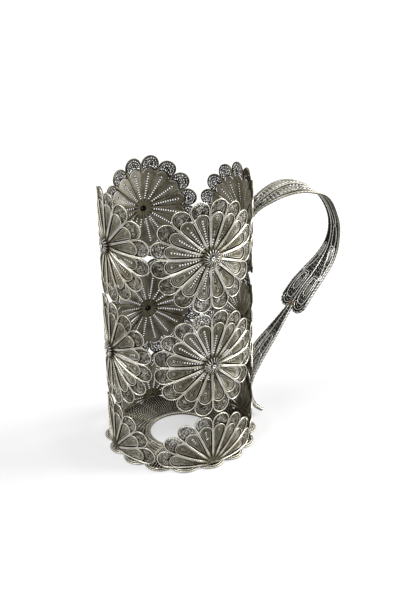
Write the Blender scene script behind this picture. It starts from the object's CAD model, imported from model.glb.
"""Looks of the filigree glass holder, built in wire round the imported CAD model."""
import math

import bpy
import numpy as np
from mathutils import Matrix, Vector


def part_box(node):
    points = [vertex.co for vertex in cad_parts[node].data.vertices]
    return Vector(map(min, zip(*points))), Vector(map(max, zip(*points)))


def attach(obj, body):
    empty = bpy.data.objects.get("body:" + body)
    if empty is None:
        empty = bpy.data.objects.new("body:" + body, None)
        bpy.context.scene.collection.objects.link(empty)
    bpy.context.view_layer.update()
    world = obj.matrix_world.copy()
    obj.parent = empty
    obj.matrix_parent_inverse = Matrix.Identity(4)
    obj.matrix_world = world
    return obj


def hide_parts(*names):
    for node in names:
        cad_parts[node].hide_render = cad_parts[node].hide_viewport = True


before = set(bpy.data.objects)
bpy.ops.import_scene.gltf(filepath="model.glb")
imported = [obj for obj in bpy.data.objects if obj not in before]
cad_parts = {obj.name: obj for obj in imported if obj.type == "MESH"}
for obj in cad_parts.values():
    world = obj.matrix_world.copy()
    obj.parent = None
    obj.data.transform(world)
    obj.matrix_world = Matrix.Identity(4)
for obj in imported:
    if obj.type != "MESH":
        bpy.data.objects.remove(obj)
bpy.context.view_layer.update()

# ---- Sizes, in millimetres, from the CAD model -----------------------------

MM = 0.001
FULL_TURN = 2 * math.pi
BOTH = (-1, 1)
NEAR = (-1,)

COLUMNS = ("front", "right", "back", "left")
ROWS = ("bottom", "middle", "top")
PETALS = 16
HALF = math.pi / PETALS  # half the angle of a petal


def box_mm(node):
    low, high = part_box(node)
    return np.array(low) / MM, np.array(high) / MM


base_high = box_mm("base_frame")[1]
ring_high = box_mm("base_ring")[1]
middle_low, middle_high = box_mm("front_middle_frame")
top_low, top_high = box_mm("front_top_frame")
boss_low, boss_high = box_mm("front_top_boss")

WIRE_DEPTH = 0.9
WALL_R = -middle_low[1] - WIRE_DEPTH / 2
ROW_PITCH = (top_low[2] + top_high[2] - middle_low[2] - middle_high[2]) / 2
ROW_Z = [(middle_low[2] + middle_high[2]) / 2 + (row - 1) * ROW_PITCH for row in range(len(ROWS))]
SPREAD = math.pi * WALL_R / 2 / ROW_PITCH  # a quarter of the wall's round over the height of a row
BASE_TIP_R = base_high[0]
RING_OUT = ring_high[0]
BOSS_R = (boss_high[0] - boss_low[0]) / 2

# The distances of a rosette's lobes, arches and inner ends from its middle.
LOBE_CENTRE = 21.1
ARCH_CENTRE = 16.6
LOBE_R = LOBE_CENTRE * math.sin(HALF)
ARCH_R = ARCH_CENTRE * math.sin(HALF)
HUB_R = 1.5


# ---- Wire meshes -----------------------------------------------------------

INNER_TONE = 0.6  # how far a wire's inner side goes from its flanks' tone to its crest's
CREST_POWER = 1.4  # how sharply the tone changes between the flanks and the crest
FLUSH_WIDTH = 0.97  # the flat side of a flush wire, as a share of the wire's width
UNDER = -0.1  # the sine below which a side of a wire is on its inner face


class Wirework:
    """A group of wires, each a tube with closed ends or a closed ring.

    They lie in flat coordinates: two across the sheet and one out of it. Each point has a tone, from 0 in a
    blackened recess to 1 on a polished crest.
    """

    def __init__(self):
        self.points = []
        self.faces = []
        self.tones = []
        self.soft = []
        self.count = 0

    def add(self, points, faces, tones, soft):
        self.points.append(points)
        self.faces.append(faces + self.count)
        self.tones.append(tones)
        self.soft.append(soft)
        self.count += len(points)

    def arrays(self):
        return [np.concatenate(part) for part in (self.points, self.faces, self.tones, self.soft)]

    def tube(self, path, width, height, lift=0.0, sides=6, closed=False, twist=0.0, pitch=1.0,
             tone=(0.0, 1.0), back=None, hatch=0.6, flush=False):
        """A wire along a path. The width and the tones may be columns that change along it.

        With twist, two strands wind round each other once in every pitch, and hatch is how much darker it
        is between them. The tone goes from the first at the flanks to the second on the outer crest, and to
        back on the inner one. A flush wire is hammered flat on its inner side.
        """
        path = np.asarray(path, float)
        if path.shape[1] == 2:
            path = np.column_stack([path, np.zeros(len(path))])
        ahead = np.roll(path, -1, 0) - np.roll(path, 1, 0)
        if not closed:
            ahead[0] = path[1] - path[0]
            ahead[-1] = path[-1] - path[-2]
        ahead = unit_rows(ahead)
        aside = unit_rows(np.column_stack([-ahead[:, 1], ahead[:, 0], np.zeros(len(path))]))
        above = np.cross(ahead, aside)
        steps = np.linalg.norm(np.diff(path, axis=0), axis=1)
        run = np.concatenate([[0.0], np.cumsum(steps)])

        angle = FULL_TURN * np.arange(sides) / sides
        under = np.sin(angle) < UNDER
        wave = np.cos(2 * (angle[None, :] - math.pi * run[:, None] / pitch))
        reach = 1 + twist * (wave - 1) / 2
        side = np.where(under & flush, FLUSH_WIDTH * np.sign(np.cos(angle)), np.cos(angle))
        across = (reach * side * np.reshape(width, (-1, 1)) / 2)[:, :, None]
        up = (reach * np.sin(angle) * np.reshape(height, (-1, 1)) / 2)[:, :, None]
        points = path[:, None, :] + aside[:, None, :] * across + above[:, None, :] * up
        points[:, :, 2] += lift

        low, high = tone
        inner = low + INNER_TONE * (high - low) if back is None else back
        crest = np.abs(np.sin(angle))[None, :] ** CREST_POWER
        tones = low + crest * (np.where(np.sin(angle) > 0, high, inner) - low)
        if twist:
            tones = tones * (1 - hatch * (1 - wave) / 2)
        tones = np.broadcast_to(tones, wave.shape)
        faces = tube_faces(len(path), sides, closed)
        soft = ~(under[faces % sides].all(axis=1) & flush)
        self.add(points.reshape(-1, 3), faces, tones.reshape(-1), soft)

    def placed(self, move):
        """A copy with every point moved by a function of the whole array."""
        other = Wirework()
        points, *rest = self.arrays()
        other.add(move(points), *rest)
        return other

    def join(self, other):
        self.add(*other.arrays())


def unit_rows(rows):
    return rows / np.maximum(np.linalg.norm(rows, axis=1, keepdims=True), 1e-9)


def tube_faces(rings, sides, closed):
    """Quads of a tube, with its two ends closed by quads too."""
    ring = np.arange(rings if closed else rings - 1)[:, None]
    side = np.arange(sides)[None, :]
    after = (ring + 1) % rings
    turn = (side + 1) % sides
    quads = np.stack(
        [ring * sides + side, after * sides + side, after * sides + turn, ring * sides + turn], axis=-1
    ).reshape(-1, 4)
    if closed:
        return quads
    caps = []
    last = (rings - 1) * sides
    for k in range(sides // 2 - 1):
        quad = np.array([k, k + 1, sides - 2 - k, sides - 1 - k])
        caps += [quad, last + quad[::-1]]
    return np.concatenate([quads, np.array(caps)])


def build(name, work, material, replaced):
    """Makes a piece of the object from wires whose points are already in their place, in millimetres."""
    points, faces, tones, soft = work.arrays()
    mesh = bpy.data.meshes.new(name)
    mesh.vertices.add(len(points))
    mesh.vertices.foreach_set("co", (points * MM).astype(np.float32).ravel())
    mesh.loops.add(faces.size)
    mesh.loops.foreach_set("vertex_index", faces.astype(np.int32).ravel())
    mesh.polygons.add(len(faces))
    mesh.polygons.foreach_set("loop_start", np.arange(0, faces.size, 4, dtype=np.int32))
    mesh.polygons.foreach_set("use_smooth", soft)
    tone = mesh.attributes.new("tone", "FLOAT", "POINT")
    tone.data.foreach_set("value", tones.astype(np.float32))
    mesh.update(calc_edges=True)
    mesh.validate()
    mesh.materials.append(material)
    piece = bpy.data.objects.new(name, mesh)
    bpy.context.scene.collection.objects.link(piece)
    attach(piece, "root")
    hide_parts(*replaced)
    return piece


# ---- Materials -------------------------------------------------------------

BLACK = (0.014, 0.011, 0.007)
TARNISH = (0.80, 0.66, 0.46)
METALLIC = 0.85
DULL_ROUGHNESS = 0.62

# The scale, in waves to the metre, and the detail of each noise.
BLOTCHES = (140.0, 4.0)
SPECKS = (2600.0, 3.0)
PATCHES = (45.0, 2.0)
WEAR = 0.5  # how much the blotches and the specks shift the tone


def silver(name, mid, bright, middle=0.5, polish=0.3, warm=0.25):
    """Oxidised silver, black-brown where the tone is low and polished where it is high.

    Its colour is mid at the tone called middle. Polish is the roughness of its brightest parts, and warm is
    the strength of the yellowish patches.
    """
    material = bpy.data.materials.new(name)
    material.use_nodes = True
    nodes = material.node_tree.nodes
    links = material.node_tree.links
    shader = nodes["Principled BSDF"]
    tone = nodes.new("ShaderNodeAttribute")
    tone.attribute_name = "tone"
    place = nodes.new("ShaderNodeTexCoord")

    def noise(scale, detail):
        node = nodes.new("ShaderNodeTexNoise")
        node.inputs["Scale"].default_value = scale
        node.inputs["Detail"].default_value = detail
        links.new(place.outputs["Object"], node.inputs["Vector"])
        return node.outputs["Fac"]

    def maths(operation, a, b):
        node = nodes.new("ShaderNodeMath")
        node.operation = operation
        for socket, value in zip(node.inputs, (a, b)):
            if isinstance(value, float):
                socket.default_value = value
            else:
                links.new(value, socket)
        return node.outputs[0]

    def wear(source):
        return maths("MULTIPLY", maths("SUBTRACT", source, 0.5), WEAR)

    specks = noise(*SPECKS)
    worn = maths("ADD", tone.outputs["Fac"], maths("ADD", wear(noise(*BLOTCHES)), wear(specks)))
    ramp = nodes.new("ShaderNodeValToRGB")
    ramp.color_ramp.elements[0].position = 0.05
    ramp.color_ramp.elements[0].color = (*BLACK, 1)
    ramp.color_ramp.elements[1].position = 0.92
    ramp.color_ramp.elements[1].color = (*bright, 1)
    ramp.color_ramp.elements.new(middle).color = (*mid, 1)
    links.new(worn, ramp.inputs["Fac"])

    patches = nodes.new("ShaderNodeMapRange")
    patches.inputs["From Min"].default_value = 0.52
    patches.inputs["From Max"].default_value = 0.72
    patches.inputs["To Max"].default_value = warm
    links.new(noise(*PATCHES), patches.inputs["Value"])
    tarnish = nodes.new("ShaderNodeMixRGB")
    tarnish.blend_type = "MULTIPLY"
    tarnish.inputs["Color2"].default_value = (*TARNISH, 1)
    links.new(patches.outputs["Result"], tarnish.inputs["Fac"])
    links.new(ramp.outputs["Color"], tarnish.inputs["Color1"])
    links.new(tarnish.outputs["Color"], shader.inputs["Base Color"])

    rough = nodes.new("ShaderNodeMapRange")
    rough.inputs["To Min"].default_value = DULL_ROUGHNESS
    rough.inputs["To Max"].default_value = polish
    links.new(worn, rough.inputs["Value"])
    links.new(rough.outputs["Result"], shader.inputs["Roughness"])
    shader.inputs["Metallic"].default_value = METALLIC

    bump = nodes.new("ShaderNodeBump")
    bump.inputs["Strength"].default_value = 0.35
    bump.inputs["Distance"].default_value = 0.00006
    links.new(specks, bump.inputs["Height"])
    links.new(bump.outputs["Normal"], shader.inputs["Normal"])
    return material


wire_silver = silver("wire_silver", (0.26, 0.238, 0.165), (0.94, 0.93, 0.90), middle=0.45, polish=0.26)
leaf_silver = silver("leaf_silver", (0.112, 0.100, 0.064), (0.56, 0.55, 0.51), polish=0.6)
lace_silver = silver("lace_silver", (0.058, 0.050, 0.032), (0.78, 0.76, 0.68), polish=0.40)
boss_silver = silver("boss_silver", (0.09, 0.082, 0.062), (0.90, 0.88, 0.83))
strap_silver = silver("strap_silver", (0.25, 0.24, 0.205), (0.97, 0.965, 0.95), middle=0.45, warm=0.1)
plait_silver = silver(
    "plait_silver", (0.06, 0.057, 0.05), (0.72, 0.71, 0.68), middle=0.45, polish=0.4, warm=0.1
)
solder = silver("solder", (0.20, 0.15, 0.08), (0.80, 0.70, 0.52), middle=0.45, polish=0.35)


# ---- Paths -----------------------------------------------------------------


def turned(angle):
    """A matrix that turns rows of flat points."""
    return np.array([[math.cos(angle), math.sin(angle)], [-math.sin(angle), math.cos(angle)]])


def arc(centre, radius, half_angle, steps):
    """An arc about a point on the first axis, the same on both sides of that axis."""
    a = np.linspace(-half_angle, half_angle, steps + 1)
    return np.column_stack([centre + radius * np.cos(a), radius * np.sin(a)])


def ring(radius, steps):
    """A round path about the middle, for a closed wire."""
    a = np.linspace(0, FULL_TURN, steps, endpoint=False)
    return np.column_stack([radius * np.cos(a), radius * np.sin(a)])


def stretches(path, keep):
    """The unbroken runs of a path's points that are kept, leaving out very short ones."""
    edges = np.flatnonzero(np.diff(np.concatenate([[0], keep.astype(int), [0]])))
    return [path[a:b] for a, b in edges.reshape(-1, 2) if b - a > 3]


# ---- Rosettes --------------------------------------------------------------
# One petal lies along the first axis, between spokes at +-HALF.

TANGENT = math.pi / 2 + HALF  # the angle at which an arc runs on into a spoke
RIM_WIRE = 0.50
RIM_STEP = 0.15
ARCH_WIRE = 0.44
ARCH_INSET = 0.36


def outline(centre, radius, start):
    """A wire's path out along one spoke, round an arc that it meets smoothly, and back along the next."""
    turn = arc(centre, radius, TANGENT, 2 * int(radius * TANGENT / RIM_STEP))
    straight = np.linspace(0, 1, int((turn[0, 0] - start[0]) / RIM_STEP))[:-1, None]
    out = start * [1, -1] + (turn[0] - start * [1, -1]) * straight
    return np.concatenate([out, turn, out[::-1] * [1, -1]])


def petal_frame():
    """The rim wire of one petal, which makes a spoke with its neighbour's, and its inner arch."""
    work = Wirework()
    side = RIM_WIRE / 2
    hub = np.array([HUB_R, HUB_R * math.tan(HALF) - side / math.cos(HALF)])
    rim = outline(LOBE_CENTRE, LOBE_R - side, hub)
    width = np.interp(rim[:, 0], [3, 9, 20, 24], [0.58, 0.5, 0.44, 0.5])
    crest = np.interp(rim[:, 0], [3.6, 6.0], [0.3, 1.0])[:, None]
    work.tube(rim, width, height=0.85, lift=0.2, sides=8, twist=0.2, pitch=0.95,
              tone=(0.0, crest), back=0.3, hatch=0.45)
    seam = np.array([[HUB_R, 0.0], [LOBE_CENTRE * math.cos(HALF), 0.0]]) @ turned(HALF)
    work.tube(seam, width=0.9, height=0.3, lift=-0.2, tone=(0.0, 0.0), back=0.37, flush=True)
    arch = arc(ARCH_CENTRE, ARCH_R - ARCH_INSET, TANGENT, 90)
    work.tube(arch, ARCH_WIRE, height=0.66, lift=0.2, sides=8, twist=0.15, pitch=0.7,
              tone=(0.0, 0.85), back=0.2, hatch=0.3)
    return work


LEAF_PITCH = 0.38
LEAF_GAP = 0.72
LEAF_LIFT = -0.22
LEAF_DEPTH = 0.34
LEAF_BACKING = 0.5
LEAF_TONES = (0.88, 0.45, 0.74, 0.4, 0.7)
HOLES = 10
HOLE_START = 4.6
HOLE_END = ARCH_CENTRE - 0.75
CHANNEL = 0.55  # from the middle of the row of holes to the wire on either side
LEAF_FOOT = CHANNEL + 0.12


def petal_leaf(rng):
    """Wires laid side by side round the petal, with a row of holes up its middle and an eye at its tip."""
    work = Wirework()
    shade = rng.uniform(0.85, 1.1)
    inner = 0.68 * shade
    for level in range(len(LEAF_TONES) + 1):
        gap = LEAF_GAP + level * LEAF_PITCH
        start = (LEAF_FOOT + gap / math.cos(HALF)) / math.tan(HALF)
        side = np.array([[min(start, ARCH_CENTRE - 0.3), -LEAF_FOOT]])
        turn = arc(ARCH_CENTRE, ARCH_R - gap, TANGENT, 18)
        path = np.concatenate([side, turn, side * [1, -1]])
        if level == 0:
            work.tube(path, LEAF_BACKING, height=0.2, lift=-0.3, tone=(0.15, 0.05), back=inner, flush=True)
        else:
            work.tube(path, 1.15 * LEAF_PITCH, LEAF_DEPTH, LEAF_LIFT,
                      tone=(0.2, LEAF_TONES[level - 1] * shade), back=inner, flush=True)
    for side in BOTH:
        rail = np.column_stack([np.linspace(HOLE_START, HOLE_END, 12), np.full(12, side * CHANNEL)])
        work.tube(rail, 0.34, LEAF_DEPTH, LEAF_LIFT, tone=(0.1, 0.55 * shade), back=inner, flush=True)
    for place in np.linspace(HOLE_START + 0.1, HOLE_END, HOLES + 1):
        rung = np.array([[place, -CHANNEL], [place, CHANNEL]])
        work.tube(rung, width=0.7, height=0.3, lift=LEAF_LIFT,
                  tone=(0.1, 0.6 * shade), back=0.6 * inner, flush=True)
    wedge = np.array([[HUB_R, 0.0], [HOLE_START - 0.1, 0.0]])
    work.tube(wedge, [0.3, 0.85], LEAF_DEPTH, LEAF_LIFT, tone=(0.0, 0.2), back=0.65 * inner, flush=True)
    eye = arc(ARCH_CENTRE, 0.43, math.pi * 11 / 12, 11)
    work.tube(eye, width=0.34, height=0.36, lift=-0.1, closed=True, tone=(0.0, 0.85), back=inner)
    return work


EYELET_ROWS = 4
EYELET_PITCH = 1.26
EYELET_GAP = 1.12  # from the rim to the first row
EYELET_STRAY = 0.16
EYELET_R = (0.40, 0.52)
EYELET_OVAL = 0.25
EYELET_TONE = (0.6, 0.9)


def petal_lace(rng):
    """Rows of little wire eyelets in the space between the arch and the lobe, between thin dark wires."""
    work = Wirework()
    low_rim = arc(ARCH_CENTRE, ARCH_R + 0.1, math.radians(62), 16)
    work.tube(low_rim, width=0.55, height=0.34, lift=-0.25, tone=(0.0, 0.0), back=0.3)
    for level in range(EYELET_ROWS):
        radius = LOBE_R - EYELET_GAP - level * EYELET_PITCH
        divider = arc(LOBE_CENTRE, radius + EYELET_PITCH / 2, math.pi, max(12, int(radius * 10)))
        for piece in stretches(divider, in_crescent(divider)):
            width = 0.4 if level else 0.55
            work.tube(piece, width, height=0.26, lift=-0.28, sides=4, tone=(0.0, 0.1), back=0.25)
        count = max(1, round(FULL_TURN * radius / EYELET_PITCH))
        for a in (np.arange(count) + rng.uniform()) * FULL_TURN / count:
            spot = np.array([LOBE_CENTRE + radius * math.cos(a), radius * math.sin(a)])
            spot = spot + rng.uniform(-EYELET_STRAY, EYELET_STRAY, 2)
            turn = np.linspace(0, FULL_TURN, 11, endpoint=False) + rng.uniform(0, FULL_TURN)
            size = rng.uniform(*EYELET_R) * (1 + EYELET_OVAL * np.sin(turn * 2))
            eyelet = spot + np.column_stack([size * np.cos(turn), size * np.sin(turn)])
            if in_crescent(spot[None, :]).all():
                tone = rng.uniform(*EYELET_TONE)
                work.tube(eyelet, width=0.46, height=0.36, lift=-0.1, sides=4, closed=True,
                          tone=(0.0, tone), back=0.2)
    return work


def in_crescent(path):
    """Which of a path's points lie between the arch and the lobe, clear of the wires round them."""
    off_arch = np.hypot(path[:, 0] - ARCH_CENTRE, path[:, 1]) > ARCH_R + 0.12
    off_spokes = path[:, 0] * math.sin(HALF) - np.abs(path[:, 1]) * math.cos(HALF) > 0.5
    return off_arch & off_spokes


COIL_TURNS = 17
COIL_STEPS = 20
COIL_WIRE = 0.42
COIL_MIDDLE = 2.35
COIL_REACH = 1.25
COIL_LIFT = 0.85
COIL_RISE = 0.75
# The radius, the lift and the width of each ring that the plate under the coil is made of.
BOSS_PLATE = ((BOSS_R - 0.6, 0.0, 0.7), (2.3, 0.1, 1.5), (1.1, 0.3, 1.6))


def boss():
    """A coil of wire bent round into a ring, on a plate, with a ring bead standing in its middle."""
    work = Wirework()
    floor = WIRE_DEPTH / 2
    a = np.linspace(0, FULL_TURN, COIL_TURNS * COIL_STEPS, endpoint=False)
    reach = COIL_MIDDLE + COIL_REACH * np.cos(COIL_TURNS * a)
    rise = np.sin(COIL_TURNS * a)
    coil = np.column_stack([reach * np.cos(a), reach * np.sin(a), COIL_LIFT + COIL_RISE * rise])
    crest = 0.35 + 0.65 * (1 + rise[:, None]) / 2
    work.tube(coil, COIL_WIRE, COIL_WIRE, floor, sides=8, closed=True, tone=(0.25, 0.76 * crest), back=0.5)
    for radius, lift, width in BOSS_PLATE:
        work.tube(ring(radius, 40), width, height=0.7, lift=lift + floor, closed=True, tone=(0.0, 0.0))
    work.tube(ring(0.6, 24), width=0.5, height=0.7, lift=floor + 1.75, sides=8, closed=True)
    work.tube(ring(0.45, 24), width=0.6, height=0.7, lift=floor + 1.2, sides=8, closed=True,
              tone=(0.0, 0.3))
    return work


def spun(k):
    """Moves a petal to its place in a rosette, clockwise from the upright spoke, and mirrors it."""
    turn = (2 * k + 1) * HALF
    c, s = math.cos(turn), math.sin(turn)

    def move(points):
        u, v, h = points.T
        return np.column_stack([u * s + v * c, u * c - v * s, h])

    return move


# How far some rosettes are set off from the grid, round the wall and up it, by column and row.
SET_OFF = {(2, 1): (0.3, -1.6), (2, 2): (0.9, -1.4), (1, 2): (0.0, -0.6), (3, 2): (0.5, 0.0)}


def on_wall(column, row, rng):
    """Wraps a flat rosette round the wall, with the small unevenness of hand work, as slow waves."""
    turn = math.radians(90 * column)
    phase = rng.uniform(0, FULL_TURN, 4)
    aside, higher = SET_OFF.get((column, row), (0.0, 0.0))
    free = row > 0  # the bottom row stands on the base

    def move(points):
        s, t, h = points.T
        s2 = s + aside + 0.10 * np.sin(0.21 * t + phase[0]) + 0.06 * np.sin(0.5 * s + phase[1])
        t2 = t + higher + (0.10 * np.sin(0.23 * s + phase[2]) + 0.06 * np.sin(0.45 * t + phase[3])) * free
        angle = s2 * SPREAD / WALL_R + turn
        radius = WALL_R + h
        return np.column_stack([radius * np.sin(angle), -radius * np.cos(angle), ROW_Z[row] + t2])

    return move


def petal_numbers(row):
    return range(-PETALS // 4, PETALS // 4) if row == 0 else range(PETALS)


def foot_bar(work):
    """The straight twisted bar under a half rosette, with a dark knot at its middle."""
    reach = LOBE_CENTRE * math.cos(HALF) + 1.2
    bar = np.column_stack([np.linspace(-reach, reach, 300), np.zeros(300)])
    work.tube(bar, width=0.8, height=0.9, lift=0.1, sides=10, twist=0.25, pitch=1.1)
    knot = np.column_stack([np.linspace(-1.6, 1.6, 9), np.full(9, 0.6)])
    work.tube(knot, width=1.3, height=1.1, lift=0.5, sides=8, tone=(0.0, 0.25))


def make_rosette(column, row):
    rng = np.random.default_rng(100 + 10 * column + row)
    place = on_wall(column, row, rng)
    wires = Wirework()
    leafwork = Wirework()
    lace = Wirework()
    for k in petal_numbers(row):
        wires.join(PETAL_FRAME.placed(spun(k)))
        leafwork.join(petal_leaf(rng).placed(spun(k)))
        lace.join(petal_lace(rng).placed(spun(k)))
    if row == 0:
        foot_bar(wires)
    name = f"{COLUMNS[column]}_{ROWS[row]}"
    build(name + "_wires", wires.placed(place), wire_silver, [name + "_frame"])
    build(name + "_leafwork", leafwork.placed(place), leaf_silver, [name + "_petals"])
    build(name + "_lace", lace.placed(place), lace_silver, [name + "_scrolls"])
    if name + "_boss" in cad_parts:
        build(name + "_flower", BOSS.placed(place), boss_silver, [name + "_boss"])


PETAL_FRAME = petal_frame()
BOSS = boss()
for column in range(len(COLUMNS)):
    for row in range(len(ROWS)):
        make_rosette(column, row)


# ---- Base ------------------------------------------------------------------

SCALLOP_R = 7.1
SCALLOP_CENTRE = BASE_TIP_R - SCALLOP_R
SCALLOP_HALF = HALF + math.asin(SCALLOP_CENTRE * math.sin(HALF) / SCALLOP_R)
BASE_SHEET = 0.2
BASE_LIFT = 0.6


def base_petal():
    """Two rim wires round one scallop of the base, and the spoke beside it."""
    work = Wirework()
    outer_rim = arc(SCALLOP_CENTRE, SCALLOP_R - 0.35, SCALLOP_HALF - 0.03, 60)
    work.tube(outer_rim, width=0.7, height=0.7, lift=0.42, sides=8, twist=0.2, pitch=0.9)
    inner_rim = arc(SCALLOP_CENTRE, SCALLOP_R - 1.15, SCALLOP_HALF - 0.06, 50)
    work.tube(inner_rim, width=0.5, height=0.6, lift=0.75, sides=8, twist=0.2, pitch=0.8)
    along = np.linspace(RING_OUT - 0.2, SCALLOP_CENTRE + 3.0, 120)
    spoke = np.column_stack([along * math.cos(HALF), along * math.sin(HALF)])
    work.tube(spoke, width=0.6, height=0.7, lift=BASE_LIFT, sides=8, twist=0.25, pitch=1.1, tone=(0.0, 0.6))
    return work


def base_ribs():
    """The twisted ribs between two spokes of the base, on a dark sheet."""
    work = Wirework()
    along = np.linspace(RING_OUT - 0.2, BASE_TIP_R - 1.0, 40)
    sector = 2 * along * math.tan(HALF)
    chord = 2 * np.sqrt(np.maximum((SCALLOP_R - 0.8) ** 2 - (along - SCALLOP_CENTRE) ** 2, 0.01))
    across = np.where(along > SCALLOP_CENTRE, np.minimum(sector, chord), sector)
    work.tube(np.column_stack([along, 0 * along]), across, BASE_SHEET, lift=0.3, tone=(0.0, 0.0), back=0.0)
    for i in range(-4, 5):
        aim = HALF * i / 4.8
        limit = SCALLOP_CENTRE * math.cos(aim)
        limit += math.sqrt(max((SCALLOP_R - 1.4) ** 2 - (SCALLOP_CENTRE * math.sin(aim)) ** 2, 1.0))
        reach = np.linspace(RING_OUT - 0.1, limit, 70)
        rib = np.column_stack([reach * math.cos(aim), reach * math.sin(aim)])
        work.tube(rib, width=0.6, height=0.5, lift=0.62, sides=8, twist=0.5, pitch=1.6 + 0.07 * i,
                  tone=(0.0, 1.02), hatch=0.7)
    return work


def make_base():
    rim = Wirework()
    ribs = Wirework()
    hole = Wirework()
    one_petal = base_petal()
    one_rib_field = base_ribs()
    for k in range(PETALS):
        turn = 2 * k * HALF
        c, s = math.cos(turn), math.sin(turn)

        def place(points, c=c, s=s):
            u, v, h = points.T
            return np.column_stack([u * c - v * s, u * s + v * c, h])

        rim.join(one_petal.placed(place))
        ribs.join(one_rib_field.placed(place))
    for inset in (0.35, 1.05):
        hole.tube(ring(RING_OUT - inset, 500), width=0.7, height=1.0, lift=BASE_LIFT, sides=8, closed=True,
                  twist=0.12, pitch=1.0)
    build("base_rim_wires", rim, wire_silver, ["base_frame"])
    build("base_mesh", ribs, lace_silver, ["base_filigree"])
    build("base_hole_wires", hole, wire_silver, ["base_ring"])


make_base()

# ---- Handle ----------------------------------------------------------------
# Each strap: [distance from the axis, height, width] along its middle, as in the CAD model.

UPPER_KNOTS = np.array([
    (33.9, 96.5, 5), (35.2, 101.5, 8), (38.9, 106, 10.5), (44.3, 109.1, 13.5), (51.4, 111.6, 16.5),
    (58.5, 112.1, 18.5), (65, 110.5, 18.5), (71, 107.6, 15.5), (75.6, 103.4, 12), (79, 97.6, 10),
    (81.2, 91, 10), (81.4, 84, 10.5), (79.8, 77.6, 12.5), (76.2, 71.8, 15), (71, 66.4, 17.5),
    (65.6, 60.8, 19.5), (61, 54.9, 20.5),
])
LOWER_KNOTS = np.array([
    (58.8, 52.8, 4.4), (54.2, 47, 6.8), (48.5, 40.2, 9.7), (43.2, 34.2, 12), (38.8, 28.2, 13.2),
    (35.6, 22.4, 13), (34.2, 16.4, 12.4), (35, 10.6, 11.6), (37.6, 6, 11), (41.4, 2.6, 10.4),
])
STRAP_WIRE = 1.3
STRAP_SAMPLES = 600
STRAP_STEP = 0.12
STRAP_SHEET = 0.2
ROPE_WIDTHS = (0.55, 1.0)  # the least and the most
SECOND_ROPE = 0.79
LOOP_STEPS = 110
LOOP_ROUND = 0.45  # the nearer to 0, the blunter a loop's ends
LOOP_WIDTHS = (0.28, 0.42)
EYE_STEPS = 14
FILL_WIRES = 4
FILL_LAY = 1.9
# The share of a tip's radius, the width, the height and the hatch of each wire round it.
TIP_WIRES = ((1.0, 1.1, 1.25, 0.9), (0.7, 0.5, 1.1, 0.2), (0.42, 0.6, 0.6, 1.0))
TIE_PLACE = 2.6  # beyond the end of the upper strap
TIE_PITCH = 0.75
TIE_REACH = (1.6, 1.3)


class Strap:
    """A strap's middle line as a smooth curve, read by the length along it.

    Everything that changes along the strap is a pair of lists, of lengths and of values there. The lean is
    how far the spine lies off the middle. Outer, inner and flank are the polish of the strap's two faces and
    of its nearer edge. The edge ropes are rope times half the strap wide. A second rope lies beside them,
    and the fill is brighter, where half the strap is more than full. From tail on, the edges are doubled.
    """

    def __init__(self, knots, lean, rope, full, tail, outer, inner, flank):
        self.lean = lean
        self.full = full
        self.tail = tail
        self.outer = outer
        self.inner = inner
        self.flank = flank
        t = np.linspace(0, len(knots) - 1, STRAP_SAMPLES)
        i = np.minimum(t.astype(int), len(knots) - 2)
        f = (t - i)[:, None]
        a = knots[np.maximum(i - 1, 0)]
        b = knots[i]
        c = knots[i + 1]
        d = knots[np.minimum(i + 2, len(knots) - 1)]
        self.curve = b + 0.5 * f * (c - a + f * (2 * a - 5 * b + 4 * c - d + f * (3 * (b - c) + d - a)))
        steps = np.linalg.norm(np.diff(self.curve[:, :2], axis=0), axis=1)
        self.along = np.concatenate([[0.0], np.cumsum(steps)])
        self.length = self.along[-1]
        heading = np.gradient(self.curve[:, :2], axis=0)
        self.heading = heading / np.linalg.norm(heading, axis=1, keepdims=True)
        self.fine = np.arange(0, self.length, STRAP_STEP)
        self.still = np.zeros(len(self.fine))
        self.rope_width = np.clip(rope * self.half(self.fine), *ROPE_WIDTHS)

    def read(self, values, length):
        return np.interp(length, self.along, values)

    def half(self, length):
        """Half the distance between the middles of the edge wires."""
        return (self.read(self.curve[:, 2], length) - STRAP_WIRE) / 2

    def lean_at(self, length):
        return np.interp(length, *self.lean)

    def line(self, length, share):
        """A flat path: share is 0 on the spine and 1 or -1 at an edge."""
        lean = self.lean_at(length)
        across = (lean + share * (1 - np.sign(share) * lean)) * self.half(length)
        return np.column_stack([length, across])

    def place(self, points):
        """Bends flat points along the curve, and straight on beyond its ends."""
        length, across, out = points.T
        inside = np.clip(length, 0, self.length)
        beyond = length - inside
        hx = self.read(self.heading[:, 0], inside)
        hz = self.read(self.heading[:, 1], inside)
        x = self.read(self.curve[:, 0], inside) + beyond * hx - out * hz
        z = self.read(self.curve[:, 1], inside) + beyond * hz + out * hx
        return np.column_stack([x, across, z])


def polish(length, knots):
    """The value at each length, from lists of lengths and values, as a column."""
    return np.interp(length, *knots)[:, None]


def loop(start, end, middle, reach):
    """A long loop with round ends between two lengths, as lengths and shares.

    Its middle and half width, in shares, may change from its start to its end.
    """
    turn = np.linspace(0, FULL_TURN, LOOP_STEPS, endpoint=False)
    along = (1 - np.cos(turn)) / 2
    bulge = np.sign(np.sin(turn)) * np.abs(np.sin(turn)) ** LOOP_ROUND
    share = np.interp(along, [0, 1], middle) + np.interp(along, [0, 1], reach) * bulge
    return start + (end - start) * along, share


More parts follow.
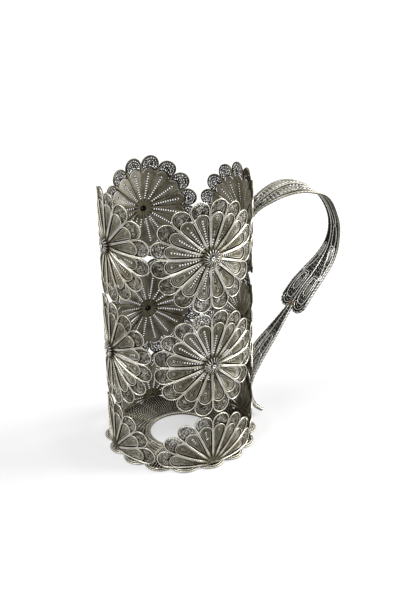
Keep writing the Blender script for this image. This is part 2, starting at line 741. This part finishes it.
def edge_wires(strap, loops, eyes):
    """The ropes along the edges, the loops of wire and the eyes inside them.

    Each loop has its sides, a start, an end, and its middle and half width at both. Each eye has a start, an
    end and a half width.
    """
    work = Wirework()
    fine = strap.fine
    for side in BOTH:
        edge = strap.line(fine, side + strap.still)
        low = polish(fine, strap.flank) * (side < 0)
        work.tube(edge, strap.rope_width * (1 + low[:, 0]), height=1.25, sides=12, twist=0.2, pitch=1.7,
                  tone=(low, polish(fine, strap.outer)), back=polish(fine, strap.inner), hatch=0.45)
        second = strap.line(fine, side * SECOND_ROPE + strap.still)
        for path in stretches(second, strap.half(fine) > strap.full):
            run = path[:, 0]
            work.tube(path, width=0.6, height=0.9, sides=8, twist=0.4, pitch=1.8,
                      tone=(0.0, polish(run, strap.outer)), back=0.7 * polish(run, strap.inner), hatch=1.0)
        for lift in (-0.8, 0.8):
            for path in stretches(edge, fine > strap.tail):
                work.tube(path, width=0.8, height=0.8, lift=lift, sides=8, twist=0.15, pitch=1.8,
                          tone=(0.3, 0.8), back=0.8, hatch=0.4)
        for start, stop, middle, reach in (shape for sides, *shape in loops if side in sides):
            run, share = loop(start, stop, middle, reach)
            width = np.clip(0.09 * strap.half(run) * (1 - side * strap.lean_at(run)), *LOOP_WIDTHS)
            work.tube(strap.line(run, side * share), width, height=1.15, closed=True,
                      tone=(0.0, polish(run, strap.outer)), back=0.55 + 0.65 * polish(run, strap.inner))
        for start, stop, reach in eyes:
            run = np.linspace(start, stop, EYE_STEPS)
            swell = np.sqrt(1 - np.linspace(-0.97, 0.97, EYE_STEPS) ** 2)
            work.tube(strap.line(run, side * 0.5 + 0 * run), 2 * reach * strap.half(run) * swell, height=0.6,
                      sides=8, tone=(0.0, 0.5), back=0.55)
    return work


def spine_wire(strap):
    """The one rope along the middle."""
    work = Wirework()
    work.tube(strap.line(strap.fine, strap.still), 0.85 * strap.rope_width, height=1.3, sides=8, twist=0.1,
              pitch=1.4, tone=(0.0, polish(strap.fine, strap.outer)), back=1.15, hatch=0.2)
    return work


def fill_wires(strap):
    """Twisted wires laid side by side between the spine and the edges, on a dark sheet."""
    work = Wirework()
    fine = strap.fine
    half = strap.half(fine)
    wide = half[:, None] > strap.full
    bright = 0.75 + 0.5 * wide
    sheet = np.column_stack([fine, strap.still])
    work.tube(sheet, 1.9 * half, STRAP_SHEET, tone=(0.0, 0.0), back=0.0)
    for side in BOTH:
        width = 0.11 * half * (1 - side * strap.lean_at(fine))
        for i in range(FILL_WIRES):
            path = strap.line(fine, side * (0.17 + 0.16 * i) + strap.still)
            work.tube(path, width, height=0.6, sides=8, twist=0.5, pitch=FILL_LAY if i % 2 else -FILL_LAY,
                      tone=(0.0, 0.9 * bright), back=bright * polish(fine, strap.inner),
                      hatch=0.6 + 0.3 * wide)
    return work


def tip_wires(strap):
    """The two round lobes at the end of a strap: three wires round each, on a dark sheet."""
    work = Wirework()
    end = strap.length
    tip_r = strap.half(end) / 2
    turn = np.linspace(-math.pi / 2, math.pi / 2, 160)
    for side in BOTH:
        for share, width, height, hatch in TIP_WIRES:
            r = tip_r * share
            rim = np.column_stack([end + r * np.cos(turn), side * tip_r + r * np.sin(turn)])
            work.tube(rim, width, height, sides=8, twist=0.4, pitch=2.0, back=1.1, hatch=hatch)
        plate = np.column_stack([end + np.linspace(-0.3, tip_r, 12), np.full(12, side * tip_r)])
        across = 2 * np.sqrt(np.maximum(tip_r ** 2 - np.linspace(0, tip_r, 12) ** 2, 0.01))
        work.tube(plate, across, STRAP_SHEET, tone=(0.0, 0.0), back=0.0)
    return work


def make_strap(strap, name, node, loops, eyes):
    edges = edge_wires(strap, loops, eyes).placed(strap.place)
    spine = spine_wire(strap).placed(strap.place)
    fill = fill_wires(strap).placed(strap.place)
    build(name + "_edge_wires", edges, strap_silver, [node + "_edges"])
    build(name + "_spine_wire", spine, strap_silver, [node + "_spine"])
    build(name + "_mesh", fill, plait_silver, [node + "_filigree"])


def make_tie(strap):
    """Three turns of solder-coloured wire round the place where the two straps meet."""
    work = Wirework()
    for i in (-1, 0, 1):
        place = strap.length + TIE_PLACE + TIE_PITCH * i
        path = np.column_stack([np.full(60, place), ring(1.0, 60) * TIE_REACH])
        work.tube(path, width=0.7, height=0.7, closed=True)
    build("tie_wires", work.placed(strap.place), solder, ["handle_tie"])


upper = Strap(
    UPPER_KNOTS,
    lean=([15, 32, 67, 78, 94], [0.0, 0.34, 0.45, 0.36, 0.0]),
    rope=0.13, full=5.4, tail=math.inf,
    outer=([0, 12, 22, 40], [0.75, 0.62, 0.42, 0.42]),
    inner=([40, 72, 84, 109], [0.45, 0.5, 0.7, 0.85]),
    flank=([0, 30, 45, 75, 88], [0.5, 0.5, 0.1, 0.1, 0.5]),
)
lower = Strap(
    LOWER_KNOTS,
    lean=([0, 60], [0.2, 0.2]),
    rope=0.2, full=3.9, tail=46.0,
    outer=([0, 60], [0.7, 1.0]),
    inner=([0, 44, 50], [1.05, 1.1, 1.4]),
    flank=([0, 60], [0.5, 0.5]),
)
make_strap(
    upper, "upper_strap", "handle_upper",
    loops=[
        (BOTH, 2, 15, (0.5, 0.5), (0.3, 0.3)),
        (BOTH, 15, 32, (0.5, 0.5), (0.28, 0.3)),
        (NEAR, 35, 67.3, (0.5, 0.5), (0.3, 0.22)),
        (NEAR, 67.7, 78, (0.5, 0.5), (0.2, 0.25)),
        (BOTH, 77.8, 95, (0.52, 0.85), (0.34, 0.05)),
        (BOTH, 79, 85, (0.52, 0.6), (0.14, 0.1)),
        (BOTH, 94.2, 108.9, (0.5, 0.5), (0.34, 0.34)),
        (BOTH, 95.4, 104.4, (0.5, 0.5), (0.2, 0.2)),
    ],
    eyes=[(23, 31.5, 0.22), (79.2, 84.6, 0.13), (98.2, 104, 0.15)],
)
tips = tip_wires(upper).placed(upper.place)
build("upper_strap_tips", tips, strap_silver, ["handle_upper_tips"])
make_strap(
    lower, "lower_strap", "handle_lower",
    loops=[
        (BOTH, 17, 27, (0.5, 0.5), (0.28, 0.3)),
        (BOTH, 27, 44, (0.5, 0.5), (0.36, 0.3)),
        (BOTH, 44, 60, (0.5, 0.5), (0.2, 0.2)),
    ],
    eyes=[(27.6, 38, 0.24)],
)
make_tie(upper)

# ---- Stage, in metres and degrees ------------------------------------------

WHITE = (1, 1, 1, 1)
FLOOR_REACH = 6.0
FLOOR_DROP = 0.0003
FLOOR_GREY = 0.14
FLOOR_GLOW = 0.5
SKY_STRENGTH = 0.65

LIGHT_DISTANCE = 3.0
LIGHT_AIM = Vector((0, 0, 0.06))
LIGHTS = (
    # name, azimuth, elevation, size, power
    ("key", 74, 30, 1.7, 350.0),
    ("top_light", 60, 76, 0.4, 24.0),
    ("fill_light", -84, 54, 1.5, 190.0),
)

CAMERA_AZIMUTH = -26.5
CAMERA_ELEVATION = 26.14
CAMERA_ROLL = -0.81
CAMERA_LENS = 70.83
CAMERA_DISTANCE = 539.1 * MM
CAMERA_ASIDE = 11.48 * MM
CAMERA_HEIGHT = (63.74 + ROW_Z[0]) * MM


def direction(azimuth, elevation):
    """The unit vector from the object towards a place round it: azimuth 0 is the front, 90 the right."""
    a = math.radians(azimuth)
    e = math.radians(elevation)
    return Vector((math.sin(a) * math.cos(e), -math.cos(a) * math.cos(e), math.sin(e)))


def make_floor():
    material = bpy.data.materials.new("floor_white")
    material.use_nodes = True
    shader = material.node_tree.nodes["Principled BSDF"]
    shader.inputs["Base Color"].default_value = (FLOOR_GREY, FLOOR_GREY, FLOOR_GREY, 1)
    shader.inputs["Roughness"].default_value = 0.9
    shader.inputs["Emission Color"].default_value = WHITE
    shader.inputs["Emission Strength"].default_value = FLOOR_GLOW
    corners = [(x * FLOOR_REACH, y * FLOOR_REACH, 0) for x, y in ((-1, -1), (1, -1), (1, 1), (-1, 1))]
    mesh = bpy.data.meshes.new("floor")
    mesh.from_pydata(corners, [], [(0, 1, 2, 3)])
    mesh.materials.append(material)
    floor = bpy.data.objects.new("floor", mesh)
    bpy.context.scene.collection.objects.link(floor)
    floor.location.z = -FLOOR_DROP


def area_light(name, azimuth, elevation, size, power):
    """A soft square light that looks at the middle of the object."""
    back = direction(azimuth, elevation)
    data = bpy.data.lights.new(name, "AREA")
    data.size = size
    data.energy = power
    light = bpy.data.objects.new(name, data)
    bpy.context.scene.collection.objects.link(light)
    light.location = LIGHT_AIM + back * LIGHT_DISTANCE
    light.rotation_mode = "QUATERNION"
    light.rotation_quaternion = (-back).to_track_quat("-Z", "Y")


def make_camera():
    """The camera stands to the front left, looking down on the object from a steep angle."""
    azimuth = math.radians(CAMERA_AZIMUTH)
    roll = math.radians(CAMERA_ROLL)
    back = direction(CAMERA_AZIMUTH, CAMERA_ELEVATION)
    right = Vector((math.cos(azimuth), math.sin(azimuth), 0))
    up = back.cross(right)
    turned_right = right * math.cos(roll) + up * math.sin(roll)
    turned_up = up * math.cos(roll) - right * math.sin(roll)
    place = right * CAMERA_ASIDE + Vector((0, 0, CAMERA_HEIGHT)) + back * CAMERA_DISTANCE
    data = bpy.data.cameras.new("camera")
    data.lens = CAMERA_LENS
    data.clip_start = 0.01
    data.clip_end = 20
    camera = bpy.data.objects.new("camera", data)
    bpy.context.scene.collection.objects.link(camera)
    axes = Matrix((turned_right, turned_up, back)).transposed()
    camera.matrix_world = Matrix.Translation(place) @ axes.to_4x4()
    bpy.context.scene.camera = camera


def make_world():
    world = bpy.data.worlds.new("world")
    bpy.context.scene.world = world
    world.use_nodes = True
    background = world.node_tree.nodes["Background"]
    background.inputs["Color"].default_value = WHITE
    background.inputs["Strength"].default_value = SKY_STRENGTH
    bpy.context.scene.view_settings.view_transform = "Standard"


make_floor()
for light_values in LIGHTS:
    area_light(*light_values)
make_camera()
make_world()
